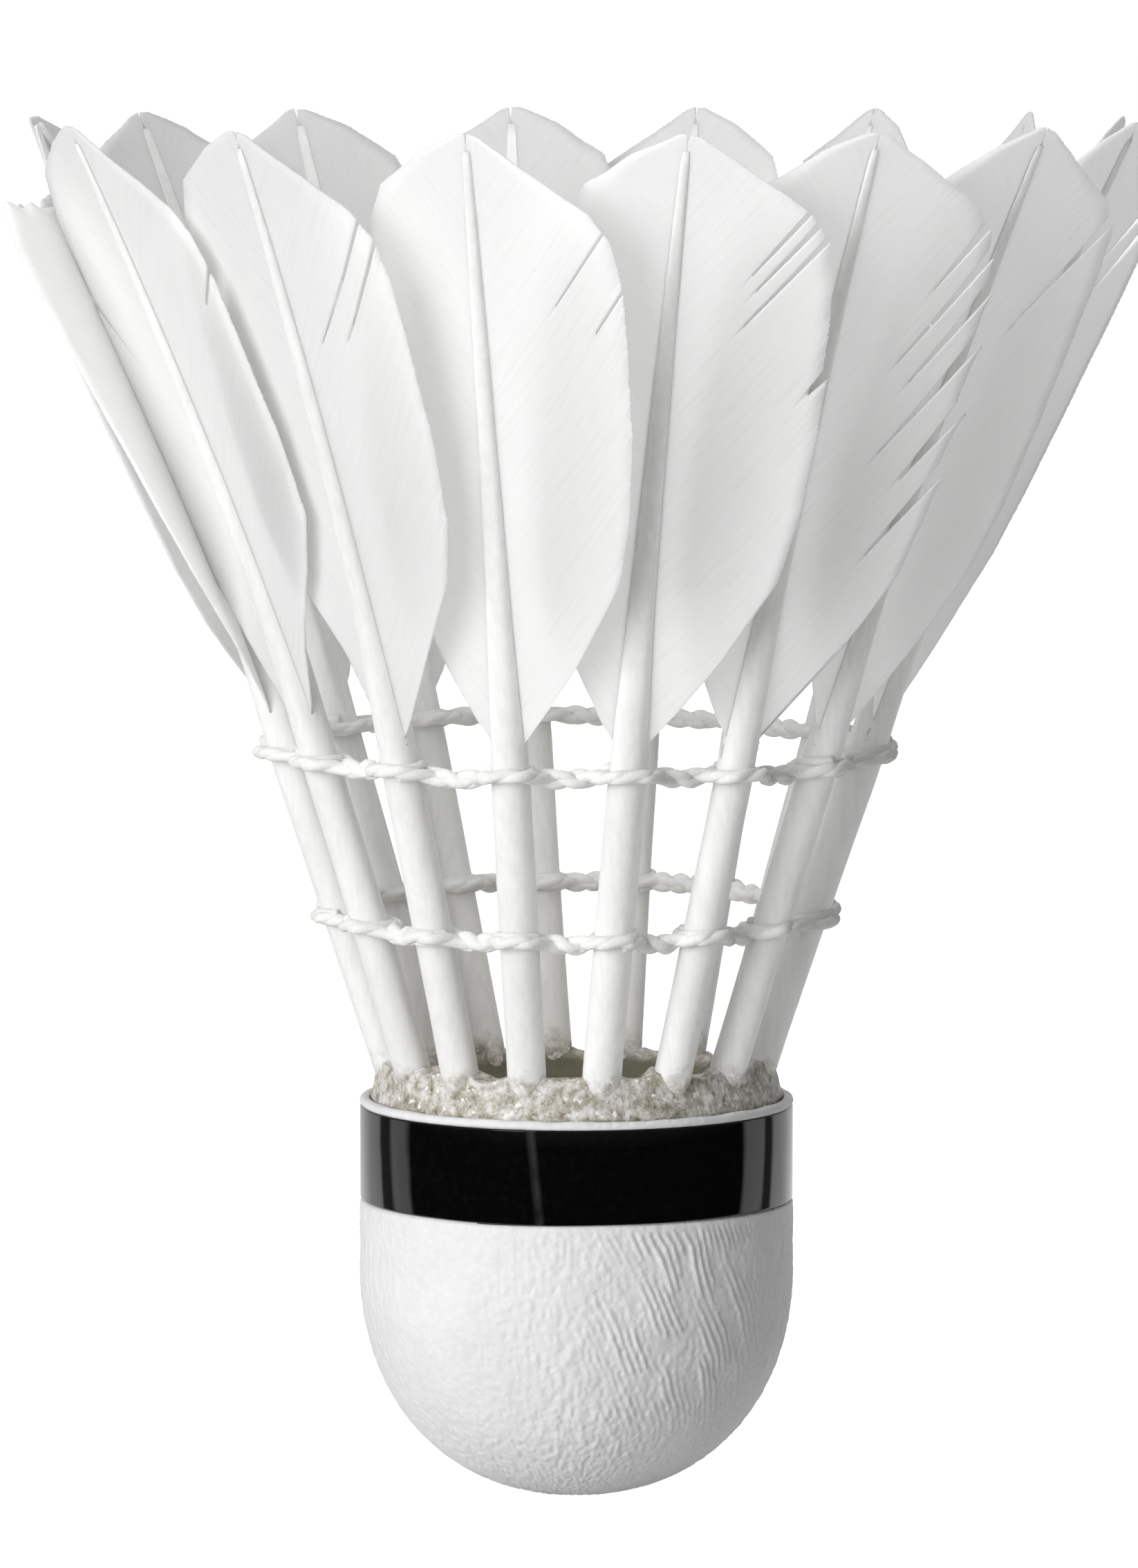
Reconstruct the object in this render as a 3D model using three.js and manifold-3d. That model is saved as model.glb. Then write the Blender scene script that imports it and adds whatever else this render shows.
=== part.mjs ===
// A feathered badminton shuttlecock: a cork in a leather cover with a ribbon round
// it, sixteen feathers standing in the cork as a flaring cone, the glue round their
// feet and the two rows of thread that tie the quills together.
//
// Millimetres, +Z up. The origin is the middle of the cork's flat top, from which
// feather length is measured. +Z runs along the axis to the feather tips, so the
// round nose points down. Radii are from the axis.

import * as THREE from 'three';
import { mergeVertices } from 'three/addons/utils/BufferGeometryUtils.js';
import Module from 'manifold-3d';

const wasm = await Module();
wasm.setup();

// Cork, cover and ribbon
const COVER_RADIUS = 13.0; // the base is 26 mm across
const COVER_THICKNESS = 0.6;
const STRAIGHT_SIDE = 10.0; // below this depth the nose starts
const NOSE_DEPTH = 14.0;
const NOSE_POWER = 2.2; // 2 would be an ellipse, more is blunter
const NOSE_STEPS = 7;
const RIBBON_TOP = -0.45;
const RIBBON_BOTTOM = -6.1;
const RIBBON_THICKNESS = 0.15;
const RIBBON_SEAT = 0.2; // how far the ribbon presses the cover in
const ROUND_SIDES = 48;

// Quills
const FEATHER_COUNT = 16;
const PITCH = (2 * Math.PI) / FEATHER_COUNT;
const FIRST_FEATHER = THREE.MathUtils.degToRad(-83);
const QUILL_CIRCLE = 10.5; // radius of the circle of quills at the cork's top
const QUILL_SLOPE = 0.336; // how far a quill leans out, per mm of height
const FLARE_START = 12.5;
const FLARE = 0.0016; // the quills bow outwards above FLARE_START
const SIDE_LEAN = 0.04; // every feather leans sideways the same way
const QUILL_SIDES = 8;
const QUILL_RADIUS = 1.15;
const QUILL_FOOT = -9.5; // the cut end, inside the cork
const SHAFT_TOP = 57.4;
const SHAFT_ROWS = [ // height, radius
	[QUILL_FOOT, 0.75],
	[QUILL_FOOT + 2.5, 1.05],
	[0, QUILL_RADIUS],
	[20, QUILL_RADIUS],
	[30, 0.98],
	[40, 0.76],
	[50, 0.56],
	[SHAFT_TOP, 0.4],
];

// Vanes
const VANE_RIGHT = 8.4; // from the shaft to the edge that lies over the next feather
const VANE_LEFT = 6.6; // from the shaft to the edge that lies under the last one
const VANE_THICKNESS = 0.35;
const VANE_COLUMNS = 4;
const VANE_CUP = 0.006; // the edges curl in by this times the square of the width
const VANE_ROWS = [ // height, share of the full width
	[23.5, 0.12],
	[28.0, 0.54],
	[32.5, 0.86],
	[38.0, 0.97],
	[46.0, 1.0],
	[50.0, 0.93],
	[54.5, 0.55],
	[58.7, 0.06],
];
const TILT_LOW = THREE.MathUtils.degToRad(8); // the vane's turn about its shaft
const TILT_HIGH = THREE.MathUtils.degToRad(17);

// Glue
const GLUE_INNER = 9.0;
const GLUE_TOP = 1.9;
const GLUE_EDGE = 0.4; // height of the glue at its inner and outer edges
const GLUE_SLOPE = 0.8; // width of the slopes from its edges to its top
const GLUE_BED = 0.2; // the ring of cork under the glue is this much lower

// Threads
const THREAD_HEIGHTS = { thread_lower: 11.0, thread_upper: 20.9 };
const COLLAR_WALL = 0.55; // the turns of thread round each quill
const COLLAR_HEIGHT = 1.2;
const LINK_WIDTH = 0.9; // the stretch from quill to quill
const LINK_HEIGHT = 1.0;

const CLEARANCE = 0.2; // between pieces that touch
const OVERCUT = 2; // how far a cutter runs past the piece it cuts
const WELD = 1e-4;

// ---------------------------------------------------------------- solids

// A closed geometry as a manifold solid.
function toSolid(geometry) {
	const bare = new THREE.BufferGeometry();
	bare.setAttribute('position', geometry.getAttribute('position'));
	bare.setIndex(geometry.getIndex());
	const welded = mergeVertices(bare, WELD);
	const corners = welded.getIndex().array;
	const triangles = [];
	for (let i = 0; i < corners.length; i += 3) {
		const [a, b, c] = corners.slice(i, i + 3);
		if (a !== b && b !== c && c !== a) triangles.push(a, b, c);
	}
	return new wasm.Manifold(new wasm.Mesh({
		numProp: 3,
		vertProperties: new Float32Array(welded.getAttribute('position').array),
		triVerts: new Uint32Array(triangles),
	}));
}

function toGeometry(solid) {
	const mesh = solid.getMesh();
	const geometry = new THREE.BufferGeometry();
	geometry.setAttribute('position', new THREE.BufferAttribute(mesh.vertProperties, 3));
	geometry.setIndex(new THREE.BufferAttribute(mesh.triVerts, 1));
	return geometry;
}

// Moves every vertex of a geometry by a function of its position.
function reshape(geometry, move) {
	const position = geometry.getAttribute('position');
	const point = new THREE.Vector3();
	for (let i = 0; i < position.count; i++) {
		point.fromBufferAttribute(position, i);
		move(point);
		position.setXYZ(i, point.x, point.y, point.z);
	}
	return geometry;
}

// A body of revolution about Z, from [radius, height] pairs listed upwards.
function turned(profile, sides) {
	const points = profile.map(([radius, height]) => new THREE.Vector2(radius, height));
	return new THREE.LatheGeometry(points, sides).rotateX(Math.PI / 2);
}

// Copies of one geometry, one at each feather's place, as solids.
function aroundTheAxis(geometry) {
	const copies = [];
	for (let k = 0; k < FEATHER_COUNT; k++) {
		copies.push(toSolid(geometry.clone().rotateZ(featherAngle(k))));
	}
	return copies;
}

// ---------------------------------------------------------------- the feather's line

function featherAngle(k) {
	return FIRST_FEATHER + k * PITCH;
}

function shaftRadius(height) {
	const above = Math.max(0, height - FLARE_START);
	return QUILL_CIRCLE + QUILL_SLOPE * height + FLARE * above * above;
}

// Takes a shape made round the Z axis to the line of a shaft that stands over +X.
function ontoShaft(geometry) {
	return reshape(geometry, (point) => {
		point.x += shaftRadius(point.z);
		point.y += SIDE_LEAN * point.z;
	});
}

// A stretch of quill, thicker by grow, for the holes that quills pass through.
function quillStretch(bottom, top, grow) {
	const radius = QUILL_RADIUS + grow;
	return ontoShaft(turned([[0, bottom], [radius, bottom], [radius, top], [0, top]], QUILL_SIDES));
}

// ---------------------------------------------------------------- the base

// The nose from its tip up to the straight side, pulled in by inset all over.
function nose(inset) {
	const radius = COVER_RADIUS - inset;
	const depth = NOSE_DEPTH - inset;
	const points = [];
	for (let i = 0; i <= NOSE_STEPS; i++) {
		const turn = (i / NOSE_STEPS) * (Math.PI / 2);
		points.push([
			radius * Math.sin(turn) ** (2 / NOSE_POWER),
			-STRAIGHT_SIDE - depth * Math.cos(turn) ** (2 / NOSE_POWER),
		]);
	}
	points[0][0] = 0;
	return points;
}

function corkCore() {
	const inset = COVER_THICKNESS + CLEARANCE;
	const radius = COVER_RADIUS - inset;
	const bed = GLUE_INNER - CLEARANCE;
	const blank = toSolid(turned([
		...nose(inset),
		[radius, -GLUE_BED],
		[bed, -GLUE_BED],
		[bed, 0],
		[0, 0],
	], ROUND_SIDES));
	const hole = quillStretch(QUILL_FOOT - CLEARANCE, OVERCUT, CLEARANCE);
	return toGeometry(aroundTheAxis(hole).reduce((rest, cutter) => rest.subtract(cutter), blank));
}

function leatherCover() {
	const inner = COVER_RADIUS - COVER_THICKNESS;
	const seat = COVER_RADIUS - RIBBON_SEAT;
	return turned([
		...nose(0),
		[COVER_RADIUS, RIBBON_BOTTOM - CLEARANCE],
		[seat, RIBBON_BOTTOM - CLEARANCE],
		[seat, 0],
		[inner, 0],
		...nose(COVER_THICKNESS).reverse(),
	], ROUND_SIDES);
}

function baseRibbon() {
	const inner = COVER_RADIUS - RIBBON_SEAT + CLEARANCE / 2;
	const outer = inner + RIBBON_THICKNESS;
	return turned([
		[inner, RIBBON_BOTTOM],
		[outer, RIBBON_BOTTOM],
		[outer, RIBBON_TOP],
		[inner, RIBBON_TOP],
		[inner, RIBBON_BOTTOM],
	], ROUND_SIDES);
}

// A low hump of glue over the quills' feet, with a hole for each quill.
function glueRing() {
	const outer = COVER_RADIUS - COVER_THICKNESS - CLEARANCE;
	const bottom = -GLUE_BED / 2;
	const hump = toSolid(turned([
		[GLUE_INNER, bottom],
		[outer, bottom],
		[outer, GLUE_EDGE],
		[outer - GLUE_SLOPE, GLUE_TOP],
		[GLUE_INNER + GLUE_SLOPE, GLUE_TOP],
		[GLUE_INNER, GLUE_EDGE],
		[GLUE_INNER, bottom],
	], ROUND_SIDES));
	const hole = quillStretch(-OVERCUT, GLUE_TOP + OVERCUT, CLEARANCE);
	return toGeometry(aroundTheAxis(hole).reduce((rest, cutter) => rest.subtract(cutter), hump));
}

// ---------------------------------------------------------------- one feather

function shaft() {
	const profile = SHAFT_ROWS.map(([height, radius]) => [radius, height]);
	return ontoShaft(turned([[0, QUILL_FOOT], ...profile, [0, SHAFT_TOP]], QUILL_SIDES));
}

// A thin plate, 2 wide and 1 high in its own numbers, drawn out to the vane's outline
// row by row and turned about the shaft so that its right edge stands outwards.
function vane() {
	const bands = VANE_ROWS.length - 1;
	const plate = new THREE.BoxGeometry(2, VANE_THICKNESS, 1, VANE_COLUMNS, 1, bands);
	reshape(plate, (point) => {
		const row = Math.round((point.z + 0.5) * bands);
		const [height, share] = VANE_ROWS[row];
		const across = point.x * share * (point.x > 0 ? VANE_RIGHT : VANE_LEFT);
		const inwards = point.y + VANE_CUP * across * across;
		const tilt = THREE.MathUtils.lerp(TILT_LOW, TILT_HIGH, row / bands);
		point.x = across * Math.sin(tilt) - inwards * Math.cos(tilt);
		point.y = across * Math.cos(tilt) + inwards * Math.sin(tilt);
		point.z = height;
	});
	return ontoShaft(plate);
}

function feather() {
	return toGeometry(toSolid(shaft()).add(toSolid(vane())));
}

// ---------------------------------------------------------------- one row of thread

// Turns of thread round every quill, joined by a stretch from each quill to the next.
function threadRow(height) {
	const low = height - COLLAR_HEIGHT / 2;
	const high = height + COLLAR_HEIGHT / 2;
	const collars = aroundTheAxis(quillStretch(low, high, CLEARANCE + COLLAR_WALL));
	const radius = shaftRadius(height);
	const link = new THREE.BoxGeometry(LINK_WIDTH, 2 * radius * Math.sin(PITCH / 2), LINK_HEIGHT);
	link.translate(radius * Math.cos(PITCH / 2), 0, height);
	link.rotateZ(PITCH / 2 + Math.atan2(SIDE_LEAN * height, radius));
	const cord = [...collars, ...aroundTheAxis(link)].reduce((all, piece) => all.add(piece));
	const hole = quillStretch(low - OVERCUT, high + OVERCUT, CLEARANCE);
	return toGeometry(aroundTheAxis(hole).reduce((rest, cutter) => rest.subtract(cutter), cord));
}

// ---------------------------------------------------------------- materials

function material(color, roughness) {
	return new THREE.MeshStandardMaterial({ color, roughness, metalness: 0 });
}

const cork = material(0xc09a68, 0.85);
const leather = material(0xe9eaec, 0.5);
const ribbon = material(0x0c0c0d, 0.12);
const glue = material(0xb3a583, 0.6);
const quillAndVane = material(0xf4f4f2, 0.55);
const thread = material(0xe6e5e0, 0.6);

// ---------------------------------------------------------------- the shuttlecock

const group = new THREE.Group();

function place(name, geometry, look) {
	const mesh = new THREE.Mesh(geometry, look);
	mesh.name = name;
	group.add(mesh);
	return mesh;
}

place('cork_core', corkCore(), cork);
place('leather_cover', leatherCover(), leather);
place('base_ribbon', baseRibbon(), ribbon);
place('glue_ring', glueRing(), glue);

const featherGeometry = feather();
for (let k = 0; k < FEATHER_COUNT; k++) {
	const name = `feather_${String(k + 1).padStart(2, '0')}`;
	place(name, featherGeometry, quillAndVane).rotation.z = featherAngle(k);
}

for (const [name, height] of Object.entries(THREAD_HEIGHTS)) {
	place(name, threadRow(height), thread);
}

export default group;
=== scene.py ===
"""Looks for the badminton shuttlecock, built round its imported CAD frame.

The frame is in metres. Shapes here are worked out in millimetres, as the CAD's are, and
scaled once, in Shape.mesh. A feather is drawn in its own frame first: height up the
shuttlecock's axis, out from the axis, and across, to the right as seen from outside.
Feathers are counted from 0, so feather k stands for the frame's feather number k + 1.
"""

import math

import bmesh
import bpy
import numpy as np
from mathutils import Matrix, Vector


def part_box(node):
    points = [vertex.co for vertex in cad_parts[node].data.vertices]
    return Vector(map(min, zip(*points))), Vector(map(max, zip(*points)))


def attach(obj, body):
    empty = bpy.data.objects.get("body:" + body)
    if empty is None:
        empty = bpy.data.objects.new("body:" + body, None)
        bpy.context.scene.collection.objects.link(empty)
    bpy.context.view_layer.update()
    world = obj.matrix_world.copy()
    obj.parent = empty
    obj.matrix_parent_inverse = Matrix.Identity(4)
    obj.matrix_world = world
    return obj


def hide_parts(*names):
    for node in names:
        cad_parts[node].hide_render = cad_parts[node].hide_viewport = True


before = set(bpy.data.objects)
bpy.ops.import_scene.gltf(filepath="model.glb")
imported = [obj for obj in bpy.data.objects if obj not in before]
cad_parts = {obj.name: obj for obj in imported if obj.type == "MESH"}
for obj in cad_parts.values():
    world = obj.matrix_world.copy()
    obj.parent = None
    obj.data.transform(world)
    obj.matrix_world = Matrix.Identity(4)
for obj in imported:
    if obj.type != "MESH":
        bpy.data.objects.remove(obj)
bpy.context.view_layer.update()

MM = 0.001

# The camera: its place and focal length in mm, and how far it looks down
CAMERA_PLACE = (-0.45, -558.0, 71.7)
CAMERA_DIP = math.radians(5.42)
CAMERA_LENS = 215.1

# The floor: the nose's tip and its gap to the floor in mm, and the floor's radius in metres
NOSE_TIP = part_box("leather_cover")[0][2] / MM
FLOOR_GAP = 0.05
FLOOR_RADIUS = 6.0
# Its own glow, and how much more of it the camera sees
FLOOR_GLOW = 0.08
FLOOR_LIFT = 0.9

# What surrounds the part: to the camera, to diffuse light, and to reflections from the
# camera's side round to the back and overhead
BACKDROP = 1.05
AMBIENT = 0.025
WORLD_FRONT = 0.015
WORLD_PANEL = 0.9
WORLD_GAP = 0.1
WORLD_BACK = 0.9
WORLD_TOP = 0.22

# The height in metres at which the lights are aimed
LIGHT_TARGET = 0.018
# The vanes that the vane fill light reaches: five at the front and right, one far left
FILLED_VANES = (12, 15, 0, 1, 2, 3)

# Where the feathers stand, and the line of a quill: its distance from the axis, how that
# grows with height, faster above FLARE_START, and its lean to the right
FEATHER_COUNT = 16
PITCH = 2 * math.pi / FEATHER_COUNT
FIRST_FEATHER = math.radians(-83)
QUILL_CIRCLE = 10.5
QUILL_SLOPE = 0.336
FLARE_START = 12.5
FLARE = 0.0016
SIDE_LEAN = 0.04

# A shaft: its ends, and its half width by height
QUILL_FOOT = -9.5
SHAFT_TOP = 57.4
QUILL_RADIUS = 1.15
SHAFT_HEIGHTS = (QUILL_FOOT, QUILL_FOOT + 2.5, 0, 20, 30, 40, 50, SHAFT_TOP)
SHAFT_RADII = (0.75, 1.05, QUILL_RADIUS, QUILL_RADIUS, 0.95, 0.70, 0.50, 0.32)
# The heights between which it turns from round to flat-sided and sinks in behind its vane,
# and how far it sinks, as a part of its half width
FLAT_FROM = 18.0
FLAT_TO = 32.0
SHAFT_SEAT = 0.5
# The groove inside it there: its width and depth as parts of the half width
GROOVE_WIDTH = 0.28
GROOVE_DEPTH = 0.30
# The heights between which its inner side comes level with the vane, and the level it
# reaches there, as a part of its half width
LEVEL_FROM = 38.0
LEVEL_TO = 50.0
LEVEL_SIDE = 0.2

# Vanes: height and half width, before each feather's own changes
VANE_FOOT = 22.6
VANE_TOP = 58.4
RIGHT_OUTLINE = np.array((
    (VANE_FOOT, 0.7), (24.0, 2.0), (28.0, 4.9), (32.5, 7.5), (36.0, 8.3), (41.0, 8.8),
    (46.0, 8.9), (50.0, 8.8), (52.3, 8.3), (53.9, 7.2), (56.3, 3.6), (58.2, 0.7), (VANE_TOP, 0.05),
))
LEFT_OUTLINE = np.array((
    (VANE_FOOT, 0.7), (24.0, 1.8), (28.0, 4.0), (32.5, 5.9), (36.0, 6.5), (41.0, 6.9),
    (46.0, 7.0), (50.0, 7.0), (53.0, 6.8), (55.5, 5.8), (57.4, 3.0), (VANE_TOP, 0.6),
))
# How fast a vane cups inwards towards its edges
VANE_CUP = 0.006
# How far a vane is turned about its shaft low down, the height from which that changes,
# and over what height it changes to its own turn at the tip
TILT_LOW = math.radians(8)
TILT_FROM = 20.0
TILT_SPAN = 36.0
# Barbs: their spacing up the shaft, points along each, how far each stands proud of the
# gap beside it, and the longest that one can be
BARB_SPACING = 0.36
BARB_STEPS = 11
BARB_RIDGE = 0.02
LONGEST_BARB = 18.0
VANE_THICKNESS = 0.13

# The leather cover and the ribbon
COVER_RADIUS = 13.0
COVER_THICKNESS = 0.6
STRAIGHT_SIDE = 10.0
NOSE_DEPTH = 14.0
NOSE_POWER = 2.2
RIBBON_TOP = -0.45
RIBBON_BOTTOM = -6.1
RIBBON_INNER = 12.9
RIBBON_OUTER = 13.05
# The ribbon's end laps over its start: where it ends, how far round it laps in radians,
# how far it stands out there in mm, and how far round its end slants in radians
LAP_END = math.radians(-100.8)
LAP = 0.28
LAP_RISE = 0.10
LAP_SLANT = 0.045

# The leather's creases: their middle and reach round the nose, their spacing, lean and
# depth, and the depth of the fine grain all over it
CREASE_MIDDLE = math.radians(-61)
CREASE_REACH = math.radians(34)
CREASE_PITCH = 0.50
CREASE_LEAN = 0.44
CREASE_DEPTH = 0.14
GRAIN_DEPTH = 0.078

# The ring of glue: its radii, its height in front and behind, and how far down it reaches
GLUE_INNER = 8.7
GLUE_OUTER = 12.35
GLUE_FRONT = 2.1
GLUE_BACK = 1.1
GLUE_FLOOR = -0.14

# Rows of thread. Each cord is two plies: their radius, their distance from the cord's
# middle, and the length of one twist
THREAD_HEIGHTS = {"thread_lower": 11.0, "thread_upper": 20.9}
PLY_RADIUS = 0.33
PLY_OFFSET = 0.10
PLY_PITCH = 3.1
# How far a row's two cords are from its middle between quills
CORD_OFFSET = 0.22
# The turn of thread round each quill: its own radius, how far it reaches up and down, how
# far round it goes, and in how many points
COLLAR_RADIUS = 0.30
COLLAR_REACH = 0.30
COLLAR_SWEEP = 2.6 * math.pi
COLLAR_POINTS = 50


# ---------------------------------------------------------------- noise and meshes

# A cube of random values, which noise() reads
LATTICE_CELLS = 32
LATTICE = np.random.default_rng(5).random((LATTICE_CELLS,) * 3)


def smooth(value, low, high):
    """0 below low, 1 above high, and a smooth step between."""
    share = np.clip((np.asarray(value, float) - low) / (high - low), 0, 1)
    return share * share * (3 - 2 * share)


def noise(x, y, z):
    """Smooth noise from -1 to 1 that repeats only every LATTICE_CELLS units."""
    point = np.stack(np.broadcast_arrays(x, y, z), axis=-1).astype(float)
    cell = np.floor(point).astype(int)
    part = point - cell
    part = part * part * (3 - 2 * part)
    total = 0
    for corner in np.ndindex(2, 2, 2):
        weight = np.prod(np.where(np.array(corner) == 1, part, 1 - part), axis=-1)
        index = (cell + np.array(corner)) % LATTICE_CELLS
        total = total + weight * LATTICE[index[..., 0], index[..., 1], index[..., 2]]
    return 2 * total - 1


def layered_noise(x, y, z, layers):
    """Noise with finer and fainter layers added."""
    total = 0
    for layer in range(layers):
        scale = 2.03 ** layer
        total = total + noise(x * scale, y * scale, z * scale + 7.3 * layer) / scale
    return total


def grid_faces(rows, columns, around=False, keep=None):
    """Quads over a grid of vertices; around joins the last column to the first."""
    row, column = np.mgrid[0:rows - 1, 0:columns if around else columns - 1]
    after = (column + 1) % columns
    quads = np.stack([
        row * columns + column,
        row * columns + after,
        (row + 1) * columns + after,
        (row + 1) * columns + column,
    ], axis=-1)
    if keep is not None:
        quads = quads[keep]
    return quads.reshape(-1, 4)


def loop_faces(rows, columns):
    """Quads over a grid that is joined both ways, into a ring."""
    faces = grid_faces(rows + 1, columns, around=True)
    faces[faces >= rows * columns] -= rows * columns
    return faces


def rod_faces(rows, sides):
    """Quads over a grid that is joined round, and a flat face at each end."""
    faces = grid_faces(rows, sides, around=True).tolist()
    last = (rows - 1) * sides
    faces.append(list(range(sides))[::-1])
    faces.append([last + i for i in range(sides)])
    return faces


class Shape:
    """Vertices and faces gathered from several grids and tubes."""

    def __init__(self):
        self.points = []
        self.faces = []
        self.count = 0

    def add(self, points, faces):
        points = np.asarray(points, float).reshape(-1, 3)
        self.points.append(points)
        self.faces.extend((np.asarray(face) + self.count).tolist() for face in faces)
        self.count += len(points)

    def add_grid(self, grid, keep, flip):
        rows, columns = grid.shape[:2]
        faces = grid_faces(rows, columns, keep=keep)
        self.add(grid, faces[:, ::-1] if flip else faces)

    def add_tube(self, path, radius, sides, closed=False):
        """A round tube along a path, with flat ends unless it is closed."""
        path = np.asarray(path, float)
        if closed:
            ahead = np.roll(path, -1, axis=0) - np.roll(path, 1, axis=0)
        else:
            ahead = np.gradient(path, axis=0)
        ahead /= np.linalg.norm(ahead, axis=1)[:, None]
        side = np.cross(ahead, (0, 0, 1))
        side /= np.maximum(np.linalg.norm(side, axis=1), 1e-6)[:, None]
        top = np.cross(side, ahead)
        turn = np.arange(sides) * 2 * math.pi / sides
        ring = (side[:, None] * np.cos(turn)[None, :, None]
                + top[:, None] * np.sin(turn)[None, :, None])
        grid = path[:, None] + radius * ring
        faces = loop_faces if closed else rod_faces
        self.add(grid, faces(len(path), sides))

    def mesh(self, name):
        mesh = bpy.data.meshes.new(name)
        mesh.from_pydata(np.concatenate(self.points) * MM, [], self.faces)
        mesh.validate()
        mesh.polygons.foreach_set("use_smooth", [True] * len(mesh.polygons))
        return mesh


def make_piece(name, mesh, material, slot, *nodes):
    """A piece that stands for these CAD nodes."""
    mesh.materials.append(material)
    piece = bpy.data.objects.new(name, mesh)
    bpy.context.scene.collection.objects.link(piece)
    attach(piece, "root")
    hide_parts(*nodes)
    return piece


def outward(mesh):
    """Turns every closed shell of a mesh so that its faces point out."""
    work = bmesh.new()
    work.from_mesh(mesh)
    bmesh.ops.recalc_face_normals(work, faces=work.faces)
    work.to_mesh(mesh)
    work.free()
    return mesh


# ---------------------------------------------------------------- node materials

class Nodes:
    """Short ways to add nodes to a tree."""

    def __init__(self, tree):
        self.nodes = tree.nodes
        self.links = tree.links

    def add(self, kind, inputs=None, **settings):
        node = self.nodes.new(kind)
        for key, value in settings.items():
            setattr(node, key, value)
        for key, value in (inputs or {}).items():
            if isinstance(value, bpy.types.NodeSocket):
                self.links.new(value, node.inputs[key])
            else:
                node.inputs[key].default_value = value
        return node

    def ramp(self, source, *stops):
        """Colours along a value: each stop is a position and a colour or a grey."""
        node = self.add("ShaderNodeValToRGB", {"Fac": source})
        ramp = node.color_ramp
        while len(ramp.elements) < len(stops):
            ramp.elements.new(0.5)
        for element, (position, colour) in zip(ramp.elements, stops):
            element.position = position
            if isinstance(colour, (int, float)):
                colour = (colour, colour, colour)
            element.color = (*colour, 1.0)
        return node.outputs["Color"]

    def mix(self, share, first, second, blend="MIX"):
        node = self.add("ShaderNodeMix", data_type="RGBA", blend_type=blend)
        for index, value in ((0, share), (6, first), (7, second)):
            socket = node.inputs[index]
            if isinstance(value, bpy.types.NodeSocket):
                self.links.new(value, socket)
            elif isinstance(value, (int, float)) and index:
                socket.default_value = (value, value, value, 1.0)
            elif index:
                socket.default_value = (*value, 1.0)
            else:
                socket.default_value = value
        return node.outputs[2]

    def math(self, operation, *values):
        node = self.add("ShaderNodeMath", operation=operation)
        for socket, value in zip(node.inputs, values):
            if isinstance(value, bpy.types.NodeSocket):
                self.links.new(value, socket)
            else:
                socket.default_value = value
        return node.outputs[0]


class Material(Nodes):
    """A Principled material; settings are its shader's own values, in words joined by _."""

    def __init__(self, name, **settings):
        self.material = bpy.data.materials.new(name)
        self.material.use_nodes = True
        super().__init__(self.material.node_tree)
        self.shader = self.nodes["Principled BSDF"]
        for socket, value in settings.items():
            self.shader.inputs[socket.replace("_", " ")].default_value = value
        self.place = self.add("ShaderNodeTexCoord").outputs["Object"]

    def stretch(self, scale, source=None):
        """The place, or another vector, multiplied by scale."""
        node = self.add("ShaderNodeMapping", {"Vector": source or self.place, "Scale": scale})
        return node.outputs["Vector"]

    def noise(self, size, detail, rough=0.55, vector=None):
        """Noise with features about size mm across."""
        node = self.add("ShaderNodeTexNoise", {
            "Vector": vector or self.place, "Scale": 1 / (size * MM),
            "Detail": detail, "Roughness": rough,
        })
        return node.outputs["Fac"]

    def bump(self, height, distance, strength, under=None):
        """Adds relief of distance mm, on top of another bump's, and returns its normal."""
        inputs = {"Height": height, "Distance": distance * MM, "Strength": strength}
        if under is not None:
            inputs["Normal"] = under
        return self.add("ShaderNodeBump", inputs).outputs["Normal"]

    def set(self, socket, source):
        self.links.new(source, self.shader.inputs[socket])


def vane_material():
    """Near white, with streaks along the barbs."""
    look = Material("vane", Roughness=0.62, IOR=1.45, Sheen_Weight=0.15, Subsurface_Weight=0.7,
                    Subsurface_Radius=(1.0, 1.0, 1.0), Subsurface_Scale=2.0 * MM)
    root = look.add("ShaderNodeAttribute", attribute_name="barb_root").outputs["Fac"]
    along = look.add("ShaderNodeAttribute", attribute_name="barb_along").outputs["Fac"]
    streak_place = look.add("ShaderNodeCombineXYZ", {"X": root, "Y": along}).outputs["Vector"]
    streaks = look.add("ShaderNodeTexNoise", {
        "Vector": look.stretch((2.4, 0.22, 1.0), streak_place), "Scale": 1.0, "Detail": 3.0,
    }).outputs["Fac"]
    clouds = look.noise(6.0, 2.0)
    tone = look.ramp(streaks, (0.3, (0.93, 0.93, 0.92)), (0.55, (0.97, 0.97, 0.963)))
    cloud_tone = look.ramp(clouds, (0.3, (0.97, 0.97, 0.965)), (0.7, (1.0, 1.0, 1.0)))
    look.set("Base Color", look.mix(1.0, tone, cloud_tone, "MULTIPLY"))
    look.set("Normal", look.bump(streaks, 0.04, 0.35))
    return look.material


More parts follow.
